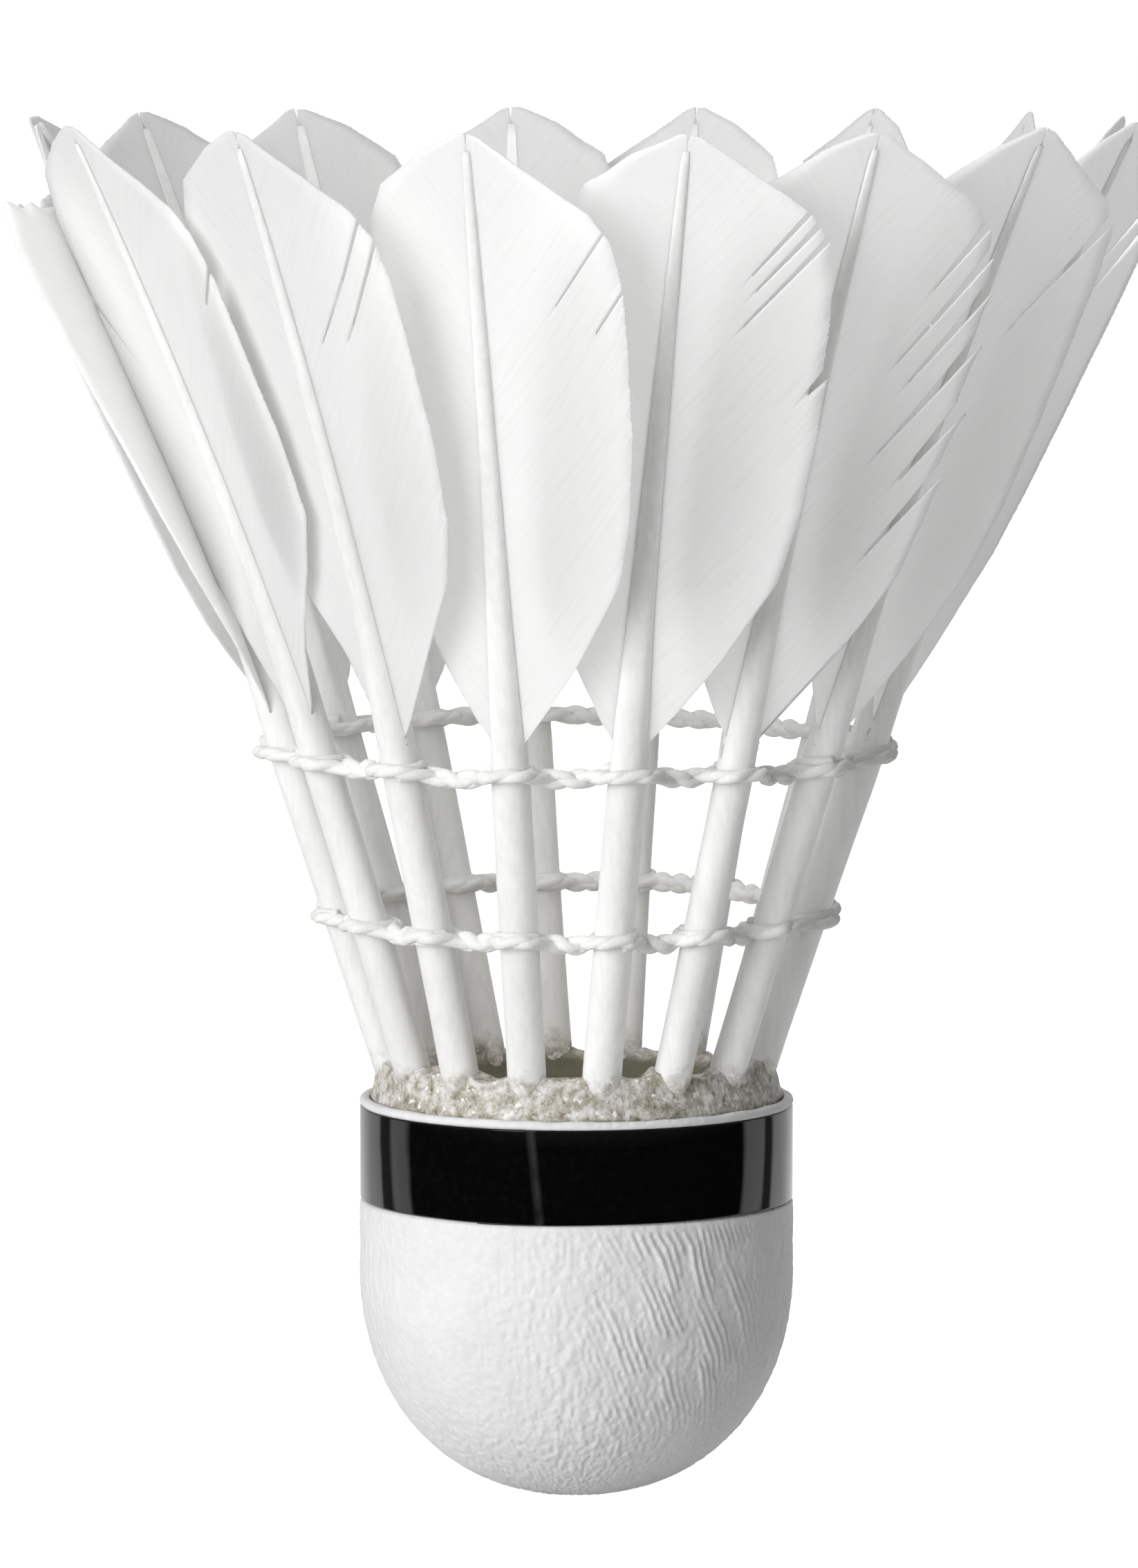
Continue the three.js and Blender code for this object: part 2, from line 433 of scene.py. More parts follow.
def quill_material():
    """Ivory with a long grain, and a film of glue that fades out above the foot."""
    look = Material("quill", IOR=1.54, Subsurface_Weight=0.25,
                    Subsurface_Radius=(1.0, 0.9, 0.78), Subsurface_Scale=0.8 * MM)
    grain = look.noise(0.35, 4.0, vector=look.stretch((1.0, 1.0, 0.06)))
    clouds = look.noise(4.0, 3.0, vector=look.stretch((1.0, 1.0, 0.4)))
    tone = look.ramp(clouds, (0.35, (0.82, 0.818, 0.805)), (0.65, (0.88, 0.88, 0.872)))
    streak = look.ramp(grain, (0.3, 0.93), (0.6, 1.0))
    colour = look.mix(1.0, tone, streak, "MULTIPLY")
    glue, crumbs = glue_colour(look)
    level = look.add("ShaderNodeSeparateXYZ", {"Vector": look.place}).outputs["Z"]
    blur = look.math("MULTIPLY_ADD", look.noise(0.9, 3.0), 2.6 * MM, level)
    film = look.ramp(look.math("DIVIDE", blur, 5 * MM), (0.54, 1.0), (0.84, 0.0))
    look.set("Base Color", look.mix(film, colour, glue))
    look.set("Roughness", look.ramp(grain, (0.3, 0.46), (0.7, 0.34)))
    rough = look.math("MULTIPLY", crumbs, film)
    look.set("Normal", look.bump(rough, 0.2, 0.8, look.bump(grain, 0.03, 0.5)))
    return look.material


def thread_material():
    """Pale fibres, glossier where glue has soaked in."""
    look = Material("thread", IOR=1.5, Sheen_Weight=0.2)
    fibre = look.noise(0.12, 3.0)
    soak = look.noise(2.2, 3.0)
    tone = look.ramp(soak, (0.35, (0.88, 0.875, 0.85)), (0.62, (0.95, 0.95, 0.94)))
    look.set("Base Color", look.mix(1.0, tone, look.ramp(fibre, (0.3, 0.88), (0.6, 1.0)), "MULTIPLY"))
    look.set("Roughness", look.ramp(soak, (0.4, 0.6), (0.6, 0.35)))
    look.set("Normal", look.bump(fibre, 0.05, 0.8))
    return look.material


def leather_material():
    """White leather with pores and a fine grain."""
    look = Material("leather", IOR=1.45)
    grain = look.noise(0.34, 3.0, 0.6)
    cells = look.add("ShaderNodeTexVoronoi", {
        "Vector": look.place, "Scale": 1 / (0.42 * MM), "Randomness": 1.0,
    }, feature="SMOOTH_F1").outputs["Distance"]
    clouds = look.noise(5.0, 3.0)
    tone = look.ramp(clouds, (0.3, (0.80, 0.80, 0.805)), (0.7, (0.86, 0.86, 0.865)))
    pores = look.ramp(cells, (0.1, 1.0), (0.75, 0.95))
    look.set("Base Color", look.mix(1.0, tone, pores, "MULTIPLY"))
    look.set("Roughness", look.ramp(grain, (0.3, 0.42), (0.7, 0.56)))
    fine = look.bump(cells, 0.09, 0.7)
    look.set("Normal", look.bump(grain, 0.06, 0.6, fine))
    return look.material


def ribbon_material():
    """Black gloss with a faint pale line where the ribbon's end is stuck down in front."""
    look = Material("ribbon", IOR=1.5)
    wave = look.noise(3.5, 2.0, vector=look.stretch((1.0, 1.0, 0.5)))
    dust = look.noise(0.5, 4.0)
    parts = look.add("ShaderNodeSeparateXYZ", {"Vector": look.place}).outputs
    lean = 2 * math.tan(LAP_SLANT / 2) * RIBBON_OUTER / (RIBBON_TOP - RIBBON_BOTTOM)
    middle = (RIBBON_OUTER * math.cos(LAP_END) + lean * (RIBBON_TOP + RIBBON_BOTTOM) / 2) * MM
    across = look.math("MULTIPLY_ADD", parts["Z"], lean, parts["X"])
    aside = look.math("ABSOLUTE", look.math("SUBTRACT", across, middle))
    line = look.ramp(look.math("DIVIDE", aside, 1.0 * MM), (0.0, 1.0), (0.10, 0.8), (0.34, 0.0))
    line = look.math("MULTIPLY", line, look.math("LESS_THAN", parts["Y"], 0.0))
    line = look.math("MULTIPLY", line, look.ramp(look.noise(1.2, 3.0), (0.3, 0.4), (0.6, 1.0)))
    look.set("Roughness", look.ramp(dust, (0.45, 0.03), (0.8, 0.10)))
    look.set("Base Color", look.mix(line, look.ramp(dust, (0.5, 0.0015), (0.9, 0.005)), 0.035))
    look.set("Normal", look.bump(wave, 0.10, 0.3))
    return look.material


# Colours of the glue's clots, by the value of their noise
GLUE_TONES = (
    (0.34, (0.28, 0.25, 0.19)), (0.45, (0.50, 0.47, 0.40)),
    (0.55, (0.68, 0.66, 0.61)), (0.68, (0.84, 0.83, 0.81)),
)


def glue_colour(look):
    """Pale dried glue with brown specks and white flecks."""
    clots = look.noise(0.8, 4.0, 0.7)
    crumbs = look.noise(0.32, 4.0, 0.7)
    flecks = look.noise(0.5, 2.0)
    tone = look.ramp(clots, *GLUE_TONES)
    # Darker where the crumbs' noise is low; the same noise sets the bump, so this darkens the hollows
    # between crumbs
    darker_in_hollows = look.ramp(crumbs, (0.34, 0.62), (0.5, 1.0))
    pale = look.ramp(flecks, (0.60, 0.0), (0.67, 1.0))
    colour = look.mix(1.0, tone, darker_in_hollows, "MULTIPLY")
    return look.mix(pale, colour, (0.90, 0.89, 0.87)), crumbs


def glue_material():
    """The glue's own colour outside, and painted shade, dark olive, on the side that faces the axis.
    """
    look = Material("glue", IOR=1.5, Subsurface_Weight=0.12,
                    Subsurface_Radius=(1.0, 0.85, 0.65), Subsurface_Scale=0.4 * MM)
    colour, crumbs = glue_colour(look)
    parts = look.add("ShaderNodeSeparateXYZ", {"Vector": look.place}).outputs
    squares = [look.math("POWER", parts[axis], 2.0) for axis in ("X", "Y")]
    radius = look.math("SQRT", look.math("ADD", *squares))
    # Painted shade: the ring's inner side, which the feathers shade, is coloured dark olive
    inside = look.ramp(look.math("DIVIDE", radius, 20 * MM), (0.485, 1.0), (0.515, 0.0))
    look.set("Base Color", look.mix(inside, colour, (0.17, 0.165, 0.11)))
    look.set("Roughness", look.ramp(crumbs, (0.3, 0.75), (0.7, 0.35)))
    look.set("Normal", look.bump(crumbs, 0.15, 0.8))
    return look.material


def cork_material():
    """Brown grains with dark pits."""
    look = Material("cork", Roughness=0.85)
    grain = look.noise(0.9, 5.0, 0.65)
    cells = look.add("ShaderNodeTexVoronoi", {
        "Vector": look.place, "Scale": 1 / (1.1 * MM), "Randomness": 1.0,
    }).outputs["Distance"]
    tone = look.ramp(grain, (0.3, (0.24, 0.16, 0.09)), (0.5, (0.44, 0.33, 0.21)),
                     (0.7, (0.58, 0.46, 0.31)))
    pits = look.ramp(cells, (0.05, (0.45, 0.38, 0.3)), (0.22, 1.0))
    look.set("Base Color", look.mix(1.0, tone, pits, "MULTIPLY"))
    look.set("Normal", look.bump(cells, 0.2, 0.7, look.bump(grain, 0.2, 0.6)))
    return look.material


VANE = vane_material()
QUILL = quill_material()
THREAD = thread_material()
LEATHER = leather_material()
RIBBON = ribbon_material()
GLUE = glue_material()
CORK = cork_material()


# ---------------------------------------------------------------- the base

def nose_profile(inset, steps):
    """Radius and height from the nose's tip up to the straight side."""
    turn = np.linspace(0, math.pi / 2, steps)
    radius = (COVER_RADIUS - inset) * np.sin(turn) ** (2 / NOSE_POWER)
    height = -STRAIGHT_SIDE - (NOSE_DEPTH - inset) * np.cos(turn) ** (2 / NOSE_POWER)
    return np.stack([radius, height], axis=1)


def even_steps(profile, step):
    """The same outline with points about step apart."""
    length = np.concatenate([[0], np.cumsum(np.linalg.norm(np.diff(profile, axis=0), axis=1))])
    wanted = np.linspace(0, length[-1], int(length[-1] / step) + 1)
    return np.stack([np.interp(wanted, length, profile[:, i]) for i in (0, 1)], axis=1)


def crease_relief(angle, length):
    """The leather's relief in mm: slanting creases on one flank, and fine upright grain.

    The length is measured down the outside of the cover, from its top.
    """
    around = angle * COVER_RADIUS
    x = np.cos(angle)
    y = np.sin(angle)
    away = np.abs((angle - CREASE_MIDDLE + math.pi) % (2 * math.pi) - math.pi)
    flank = (1 - smooth(away, 0.35 * CREASE_REACH, CREASE_REACH)) * (1 - smooth(length, 8.5, 14.5))
    warp = 0.35 * noise(x * 3.6, y * 3.6, length * 0.24 + 5)
    warp = warp + 0.10 * noise(x * 15, y * 15, length * 0.9)
    place = around - CREASE_LEAN * length + warp
    ridges = (0.5 + 0.5 * np.sin(2 * math.pi * place / CREASE_PITCH)) ** 1.4
    breaks = smooth(noise(place / 1.0, length / 2.4, 11.0), -0.6, 0.1)
    creases = flank * (ridges * breaks - 0.4)
    patches = 0.6 + 0.4 * smooth(noise(x * 1.6 + 3, y * 1.6, length * 0.12), -0.5, 0.5)
    upright = noise(around / 0.21 + 0.5 * warp, length / 0.7, 17.0)
    pebbles = noise(around / 0.26, length / 0.28, 23.0)
    pebble_share = 0.35 + 0.35 * smooth(length, 9.0, 15.0)
    grain = patches * (upright * (1 - pebble_share) + pebbles * pebble_share)
    return CREASE_DEPTH * creases + GRAIN_DEPTH * (1 - 0.4 * flank) * grain


def leather_cover():
    """A closed shell: nose, straight wall, the step under the ribbon, a rounded rim, lining."""
    columns = 660
    step = 0.13
    lining_rows = 12
    inner = COVER_RADIUS - COVER_THICKNESS
    outside = even_steps(nose_profile(0, 400), step)
    straight = np.arange(-STRAIGHT_SIDE + step, RIBBON_BOTTOM - 0.3, step)
    wall = np.stack([np.full(len(straight), COVER_RADIUS), straight], axis=1)
    rim = np.array([
        (COVER_RADIUS, RIBBON_BOTTOM - 0.25), (COVER_RADIUS - 0.06, RIBBON_BOTTOM - 0.1),
        (COVER_RADIUS - 0.2, RIBBON_BOTTOM - 0.02), (COVER_RADIUS - 0.2, -3.5),
        (COVER_RADIUS - 0.2, RIBBON_TOP - 0.08), (COVER_RADIUS - 0.06, RIBBON_TOP + 0.03),
        (COVER_RADIUS + 0.02, -0.26), (COVER_RADIUS - 0.02, -0.08), (COVER_RADIUS - 0.14, 0.03),
        (COVER_RADIUS - 0.36, 0.05), (inner + 0.08, 0.02), (inner, -0.1),
    ])
    lining = nose_profile(COVER_THICKNESS, lining_rows)[::-1]
    profile = np.concatenate([outside, wall, rim, lining])
    profile[0, 0] = profile[-1, 0] = 0.0
    radius, height = profile[:, 0], profile[:, 1]
    spans = np.linalg.norm(np.diff(profile, axis=0), axis=1)
    length = np.concatenate([[0], np.cumsum(spans)])
    seen = len(outside) + len(wall)
    length = length[seen - 1] - length
    turn = np.arange(columns) * 2 * math.pi / columns
    relief = crease_relief(turn[None, :], length[:, None])
    relief *= smooth(radius, 0.0, 2.2)[:, None] * smooth(-height, 6.35, 6.9)[:, None]
    relief[seen:] = 0
    rim_wave = 0.05 * noise(9.3 * np.cos(turn), 9.3 * np.sin(turn), 1.0)
    top = smooth(height, RIBBON_TOP - 0.05, 0.0)[:, None]
    top[seen + len(rim):] = 0
    slope = np.gradient(profile, axis=0)
    slope /= np.maximum(np.linalg.norm(slope, axis=1), 1e-9)[:, None]
    out_radius = radius[:, None] + relief * slope[:, 1][:, None]
    out_height = height[:, None] - relief * slope[:, 0][:, None] + top * rim_wave[None, :]
    grid = np.stack([
        out_radius * np.cos(turn),
        out_radius * np.sin(turn),
        np.broadcast_to(out_height, out_radius.shape),
    ], axis=-1)
    shape = Shape()
    rows = len(profile)
    body = grid[1:-1].reshape(-1, 3)
    tip = np.array([[0, 0, height[0]]])
    lining_tip = np.array([[0, 0, height[-1]]])
    faces = grid_faces(rows - 2, columns, around=True).tolist()
    count = len(body)
    for i in range(columns):
        after = (i + 1) % columns
        faces.append([count, after, i])
        faces.append([count + 1, count - columns + i, count - columns + after])
    shape.add(np.concatenate([body, tip, lining_tip]), faces)
    mesh = outward(shape.mesh("leather_cover_hide"))
    return make_piece("leather_cover_hide", mesh, LEATHER, "leather", "leather_cover")


def ribbon():
    """A band whose last few mm lap over its start, so its end shows as a fine slanted line."""
    sweep = 2 * math.pi + LAP
    share = np.concatenate([np.linspace(0, 0.994, 400), np.linspace(0.9943, 1, 40)])
    columns = len(share)
    to_end = (1 - share) * sweep * RIBBON_OUTER
    over = smooth(share, 1 - (LAP + 0.25) / sweep, 1 - LAP / sweep)
    fall = 0.14 * (1 - np.sqrt(np.clip(to_end / 0.30, 0, 1)))
    wobble = 0.012 * noise(share * 60, 0, 0)
    levels = np.array([0.0, 0.02, 0.5, 0.98, 1.0])
    grid = []
    for outer_face in (True, False):
        for level in (levels if outer_face else levels[::-1]):
            edge = 0.04 if level in (0.0, 1.0) else 0.0
            if outer_face:
                radius = RIBBON_OUTER - 0.06 - edge + wobble - fall
            else:
                radius = RIBBON_INNER - 0.02 + edge / 2 - fall
            radius = radius + over * LAP_RISE
            slant = LAP_SLANT * (0.5 - level) * smooth(share, 0.96, 1.0)
            turn = LAP_END + (share - 1) * sweep + slant
            height = RIBBON_BOTTOM + level * (RIBBON_TOP - RIBBON_BOTTOM)
            height = height + 0.05 * noise(share * 9, level * 0.5, 4)
            grid.append(np.stack([
                radius * np.cos(turn), radius * np.sin(turn),
                np.broadcast_to(height, radius.shape)], axis=-1))
    grid = np.array(grid)
    shape = Shape()
    rows = len(grid)
    faces = grid_faces(rows, columns).tolist()
    for i in range(columns - 1):
        faces.append([(rows - 1) * columns + i, (rows - 1) * columns + i + 1, i + 1, i])
    faces.append([row * columns for row in range(rows)])
    faces.append([row * columns + columns - 1 for row in range(rows)][::-1])
    shape.add(grid, faces)
    mesh = outward(shape.mesh("ribbon_band"))
    return make_piece("ribbon_band", mesh, RIBBON, "ribbon", "base_ribbon")


def glue():
    """Rough dried glue: a crumbly ring that laps up every quill."""
    columns = 1200
    rings = 64
    share = np.linspace(0, 1, rings)[:, None]
    turn = (np.arange(columns) * 2 * math.pi / columns)[None, :]
    radius = GLUE_INNER + share * (GLUE_OUTER - GLUE_INNER)
    x = radius * np.cos(turn)
    y = radius * np.sin(turn)
    gap = np.full(x.shape, 99.0)
    for k in range(FEATHER_COUNT):
        out, across = shaft_line(1.2, k)
        foot = to_place(out, across, 0.0, k)
        gap = np.minimum(gap, np.hypot(x - foot[0], y - foot[1]))
    climb = smooth(gap, QUILL_RADIUS + 0.9, QUILL_RADIUS - 0.3)
    around_x = np.cos(turn)
    around_y = np.sin(turn)
    slow = noise(around_x * 2.3, around_y * 2.3, 2.0)
    clots = noise(x / 0.9, y / 0.9, 8.0)
    crumbs = layered_noise(x / 0.36, y / 0.36, 4.0, 3)
    outer_slope = smooth(GLUE_OUTER - radius, -0.05, 0.55) ** 0.8
    inner_slope = smooth(radius - GLUE_INNER, 0.0, 1.6)
    front = smooth(around_y, 0.5, -0.3)
    body = GLUE_BACK + (GLUE_FRONT - GLUE_BACK) * front
    body = body + 0.12 * slow + 0.12 * clots + 0.35 * climb * (0.9 + 0.5 * clots)
    height = 0.08 + outer_slope * inner_slope * (body + 0.07 * crumbs)
    height = np.maximum(height, 0.02)
    edge = 0.10 * noise(around_x * 19, around_y * 19, 3.0) * (1 - smooth(share, 0.0, 0.2))
    face = 0.05 * noise(around_x * 34, around_y * 34, height / 0.4)
    face = face * smooth(share, 0.75, 0.9) * (share < 1)
    x = x + (edge - np.abs(face)) * around_x
    y = y + (edge - np.abs(face)) * around_y
    top = np.stack([x, y, height], axis=-1)
    bottom = np.stack([x[[-1, 0]], y[[-1, 0]], np.full((2, columns), GLUE_FLOOR)], axis=-1)
    grid = np.concatenate([top, bottom])
    shape = Shape()
    shape.add(grid, loop_faces(len(grid), columns))
    mesh = outward(shape.mesh("glue_bead"))
    return make_piece("glue_bead", mesh, GLUE, "glue", "glue_ring")


# ---------------------------------------------------------------- the feather's line

# Each feather's own lean, in mm at its tip, from the common line
TIP_LEANS = (
    -0.15, -1.6, -1.35, 0.3, 0.3, 0.3, 0.2, -0.9,
    -2.2, -1.1, -1.4, -0.5, 1.2, -2.5, -0.7, 0.45,
)
# and how far a tip is bent in, in mm, where it is
TIP_PULLS = {12: 1.2}
# and how far its vane is turned about its shaft at the top, in degrees
TIP_TILTS = (14, 12, 16, 20, 22, 18, 17, 16, 17, 16, 18, 12, 41, -2, 7, 12)


def shaft_line(height, k):
    """Distance from the axis and sideways offset of feather k's shaft."""
    height = np.asarray(height, float)
    above = np.maximum(0, height - FLARE_START)
    high = (np.maximum(height, 0) / SHAFT_TOP) ** 2
    radius = QUILL_CIRCLE + QUILL_SLOPE * height + FLARE * above * above - TIP_PULLS.get(k, 0) * high
    sideways = SIDE_LEAN * height + TIP_LEANS[k] * high
    return radius, sideways


def tilt_at(height, k):
    """How far feather k is turned about its shaft, its right edge outwards."""
    high = np.clip((np.asarray(height, float) - TILT_FROM) / TILT_SPAN, 0, 1)
    tip = math.radians(TIP_TILTS[k])
    low = min(TILT_LOW, tip)
    return low + (tip - low) * high


def to_place(out, across, height, k):
    """From feather k's frame, where out is from the axis, to the part's frame."""
    angle = FIRST_FEATHER + k * PITCH
    return np.stack(np.broadcast_arrays(
        out * math.cos(angle) - across * math.sin(angle),
        out * math.sin(angle) + across * math.cos(angle),
        height,
    ), axis=-1)


def shaft(k):
    """A tapering quill, flat-sided where the vanes join it, with a shallow groove inside."""
    sides = 24
    rows = 90
    height = np.linspace(QUILL_FOOT, SHAFT_TOP, rows)
    half = np.interp(height, SHAFT_HEIGHTS, SHAFT_RADII)
    half = half * (1 + 0.02 * noise(height / 6, k * 3.7, 0))
    half[-1] *= 0.8
    turn = (np.arange(sides) * 2 * math.pi / sides)[None, :]
    high = smooth(height, FLAT_FROM, FLAT_TO)[:, None]
    power = 2.0 + 0.9 * high
    cosine = np.cos(turn)
    sine = np.sin(turn)
    out = np.sign(cosine) * np.abs(cosine) ** (2 / power)
    across = np.sign(sine) * np.abs(sine) ** (2 / power)
    groove = np.exp(-(sine / GROOVE_WIDTH) ** 2) * (cosine < 0)
    out = out * (1 - GROOVE_DEPTH * groove * high)
    out = out * (1.0 + 0.10 * high)
    across = across * (1.0 - 0.12 * high)
    level = smooth(height, LEVEL_FROM, LEVEL_TO)[:, None]
    out = np.maximum(out, level * LEVEL_SIDE - (1 - level) * 1.2)
    radius, sideways = shaft_line(height, k)
    tilt = tilt_at(height, k)
    across_turned = across * np.cos(tilt)[:, None] - out * np.sin(tilt)[:, None]
    out_turned = out * np.cos(tilt)[:, None] + across * np.sin(tilt)[:, None]
    seated = radius[:, None] - SHAFT_SEAT * half[:, None] * high
    grid = to_place(
        seated + half[:, None] * out_turned,
        sideways[:, None] + half[:, None] * across_turned,
        height[:, None], k)
    shape = Shape()
    shape.add(grid, rod_faces(rows, sides))
    name = f"feather_{k + 1:02d}_shaft"
    mesh = outward(shape.mesh(name))
    return make_piece(name, mesh, QUILL, "quill", f"feather_{k + 1:02d}")


# ---------------------------------------------------------------- vanes

# In the tables below, True is a vane's right side and False its left.
# Vanes torn down to a ragged strip: where it starts and its width,
TORN_TOPS = {
    (11, True): (53.2, 1.5),
    (12, True): (53.6, 1.5),
    (12, False): (53.0, 1.3),
}
# how much of that width is gone at the tip, and how ragged the tear is in mm
TORN_TAPER = 0.7
TORN_RAGGED = 0.8
# How many times wider than the others a vane is
WIDE_VANES = {(13, False): 1.04}
# Vanes that start narrow: the part of their width that is missing at the foot
NARROW_FEET = {(12, True): 0.3, (13, True): 0.45, (14, False): 0.45, (14, True): 0.1}

# Splits between barbs: the height at which they leave the shaft, where along the barb
# the split starts (0 to 1), how far it opens in degrees, and how far it lifts in mm.
RIGHT_SPLITS = {
    0: ((42.6, 0.5, 1.3, 0.12), (44.0, 0.55, 1.5, 0.15), (45.4, 0.6, 1.3, 0.12),
        (34.0, 0.85, 2, 0.15)),
    1: ((39.5, 0.5, 2, 0.35), (37.0, 0.55, 2.4, 0.4), (34.0, 0.5, 3.2, 0.4),
        (30.0, 0.62, 3.5, 0.4), (27.0, 0.6, 3, 0.3), (42.0, 0.7, 2, 0.3)),
    2: ((43.0, 0.4, 3, 0.25),),
    3: ((46.0, 0.5, 3, 0.2), (43.5, 0.5, 3, 0.2)),
    13: ((40.0, 0.75, 2, 0.2),),
    14: ((43.5, 0.3, 1.6, 0.18), (41.2, 0.42, 1.4, 0.15)),
    15: ((43.0, 0.6, 0.5, 0.06), (38.5, 0.75, 0.5, 0.05)),
}
LEFT_SPLITS = {
    2: ((43.5, 0.25, 5, 0.35),),
    3: ((48.0, 0.4, 3, 0.2),),
    13: ((40.0, 0.6, 2, 0.15),),
}
# The feathers at the back that get splits at random
RANDOM_SPLITS = range(4, 11)


def barb_side(k, right, rng):
    """One side of vane k as a grid: a pair of rows for each barb, points along each barb.

    Returns the points, which quads to keep, and each point's barb root and distance along.
    The root also tells the barbs of one side of a vane from all the others.
    """
    sign = 1 if right else -1
    heights, widths = (RIGHT_OUTLINE if right else LEFT_OUTLINE).T
    widths = widths * rng.uniform(0.97, 1.03)
    widths = widths * (1 - NARROW_FEET.get((k, right), 0.0) * (1 - smooth(heights, 25, 37)))
    widths = widths * WIDE_VANES.get((k, right), 1.0)
    torn_from, torn_width = TORN_TOPS.get((k, right), (99, 0))
    spread = math.radians(rng.uniform(39, 44))
    bend = rng.uniform(0.0, 0.012)
    low = VANE_FOOT - 2.2
    barbs = int((SHAFT_TOP + 0.7 - low) / BARB_SPACING)
    rows = 2 * barbs
    root = low + (np.arange(rows) // 2 + 0.5 * (np.arange(rows) % 2)) * BARB_SPACING
    ridge = np.arange(rows) % 2
    steps = np.linspace(0, 1, BARB_STEPS)

    angles = spread * (1 - 0.8 * smooth(root, SHAFT_TOP - 3.5, SHAFT_TOP + 0.3))
    reach = np.linspace(0, LONGEST_BARB, 1200)
    edge_wave = 0.06 * noise(root / 2.2, k * 5.1, 10 * right)
    length = np.zeros(rows)
    for row in range(rows):
        across = reach * math.sin(angles[row])
        height = root[row] + reach * math.cos(angles[row]) + bend * reach ** 2
        width = np.interp(height, heights, widths, left=0.0, right=0.0)
        width = np.where(height < heights[0], widths[0] + 0.4, width)
        torn = height > torn_from + TORN_RAGGED * noise(across / 1.1, height / 2, k)
        risen = np.clip((height - torn_from) / (VANE_TOP - torn_from), 0, 1)
        strip = torn_width * (1 - TORN_TAPER * risen)
        width = np.where(torn, np.minimum(width, strip), width)
        outside = np.nonzero(across > width + 1e-6)[0]
        length[row] = reach[outside[0]] if len(outside) else reach[-1]
    length = np.maximum(length, 0.35)
    frayed = 1 - 0.7 * smooth(root, 36, 42)
    length = length + edge_wave + frayed * (rng.uniform(-0.06, 0.06, rows) - 0.1 * (1 - ridge))
    length = np.maximum(length, 0.3)

    splits = sorted((RIGHT_SPLITS if right else LEFT_SPLITS).get(k, ()))
    if k in RANDOM_SPLITS:
        places = rng.uniform(30, 48, rng.integers(1, 4))
        splits = sorted((place, rng.uniform(0.35, 0.7), rng.uniform(1.5, 4), rng.uniform(0.1, 0.35))
                        for place in places)
    turn = np.zeros((rows, BARB_STEPS))
    lift = np.zeros((rows, BARB_STEPS))
    keep = np.ones((rows - 1, BARB_STEPS - 1), bool)
    for place, start, opening, rise in splits:
        above = root - place
        upper = np.where(above > 0, np.exp(-above / 2.2), 0)
        lower = np.where(above <= 0, np.exp(above / 1.2), 0)
        beyond = np.clip((steps - start) / (1 - start), 0, 1)
        turn += math.radians(opening) * (0.35 * upper - 0.65 * lower)[:, None] * beyond ** 0.8
        lift += rise * (0.6 * lower - 0.4 * upper)[:, None] * beyond ** 1.5
        cut = int(np.argmax(above > 0)) - 1
        keep[cut, steps[:-1] >= start] = False

    along = length[:, None] * steps
    across = along * np.sin(angles[:, None] - turn)
    height = root[:, None] + along * np.cos(angles[:, None] - turn) + bend * along ** 2
    height = np.minimum(height, VANE_TOP + 0.3)
    wave = 0.28 * noise(height / 9, across / 5, k * 7.7 + 3 * right) * smooth(across, 0.5, 5)
    inwards = VANE_CUP * across ** 2 + wave - lift
    inwards = inwards - BARB_RIDGE * (ridge[:, None] - 0.5) * smooth(across, 0.4, 1.2)
    tilt = tilt_at(height, k)
    signed = sign * across
    radius, sideways = shaft_line(height, k)
    grid = to_place(
        radius + signed * np.sin(tilt) - inwards * np.cos(tilt),
        sideways + signed * np.cos(tilt) + inwards * np.sin(tilt),
        height, k)
    roots = np.broadcast_to(root[:, None], across.shape) + 60.0 * k + 1000 * right
    return grid, keep, roots, along


def vane(k):
    """Both sides of a vane, thickened into a closed solid."""
    rng = np.random.default_rng(100 + k)
    shape = Shape()
    root_values = []
    along_values = []
    for right in (True, False):
        grid, keep, roots, along = barb_side(k, right, rng)
        shape.add_grid(grid, keep, flip=not right)
        root_values.append(roots.ravel())
        along_values.append(along.ravel())
    name = f"feather_{k + 1:02d}_vane"
    mesh = shape.mesh(name)
    for attribute, values in (("barb_root", root_values), ("barb_along", along_values)):
        layer = mesh.attributes.new(attribute, "FLOAT", "POINT")
        layer.data.foreach_set("value", np.concatenate(values).astype(np.float32))
    holder = bpy.data.objects.new(name + "_flat", mesh)
    bpy.context.scene.collection.objects.link(holder)
    thicken = holder.modifiers.new("thicken", "SOLIDIFY")
    thicken.thickness = VANE_THICKNESS * MM
    thicken.offset = 0
    graph = bpy.context.evaluated_depsgraph_get()
    solid = bpy.data.meshes.new_from_object(holder.evaluated_get(graph))
    solid.name = name
    bpy.data.objects.remove(holder)
    outward(solid)
    return make_piece(name, solid, VANE, "vane", f"feather_{k + 1:02d}")


# ---------------------------------------------------------------- threads

def twisted(shape, path):
    """Two plies wound round a path that ends where it starts."""
    step = np.linalg.norm(np.diff(path, axis=0), axis=1)
    length = np.concatenate([[0], np.cumsum(step)])
    turns = max(1, round(length[-1] / PLY_PITCH))
    phase = length / length[-1] * turns * 2 * math.pi
    ahead = np.gradient(path, axis=0)
    ahead /= np.linalg.norm(ahead, axis=1)[:, None]
    side = np.cross(ahead, (0, 0, 1))
    side /= np.maximum(np.linalg.norm(side, axis=1), 1e-6)[:, None]
    top = np.cross(side, ahead)
    for ply in (0, math.pi):
        shifted = path + PLY_OFFSET * (
            np.cos(phase + ply)[:, None] * side + np.sin(phase + ply)[:, None] * top)
        shape.add_tube(shifted[:-1], PLY_RADIUS, 9, closed=True)


